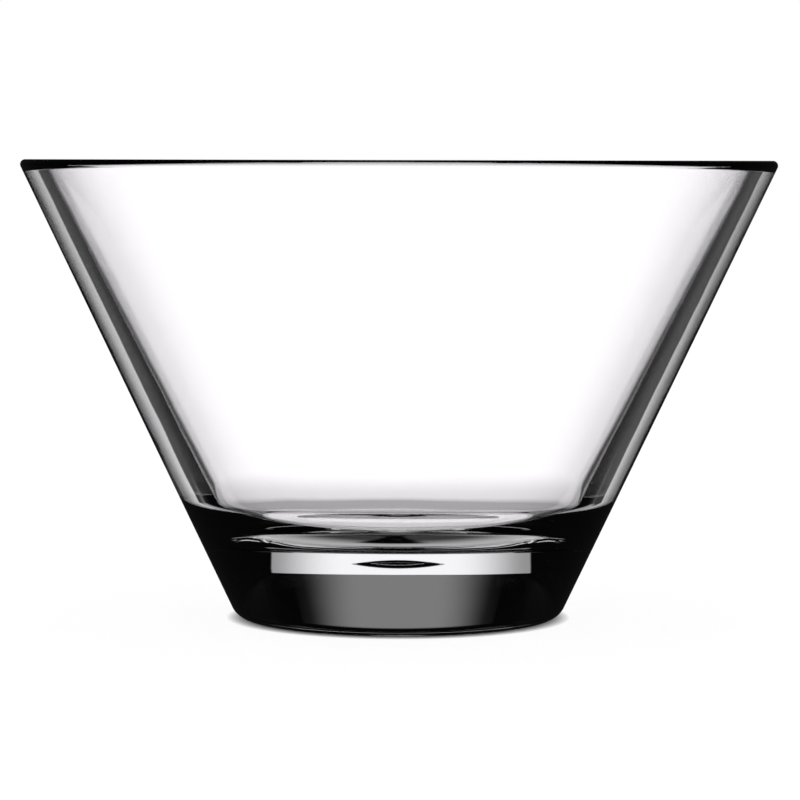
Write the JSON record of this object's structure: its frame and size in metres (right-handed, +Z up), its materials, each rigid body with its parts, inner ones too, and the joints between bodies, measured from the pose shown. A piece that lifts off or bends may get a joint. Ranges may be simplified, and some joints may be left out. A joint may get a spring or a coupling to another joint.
{
  "type": "conical glass bowl",
  "caption": "Clear pressed-glass bowl: a straight flared wall with a rolled rim, rising from a thick solid base with a rounded foot.",
  "frame": {"origin": "on the bowl's axis, in the plane that the foot stands on", "axes": "+Z up along the axis of revolution, from the foot to the open rim; -Y towards the picture's camera, +X to its right"},
  "size_m": [0.12, 0.12, 0.0731],
  "materials": {
    "clear_glass": "clear and colourless, fire polished"
  },
  "bodies": {
    "root": {"glass_bowl": "clear_glass"}
  },
  "joints": []
}
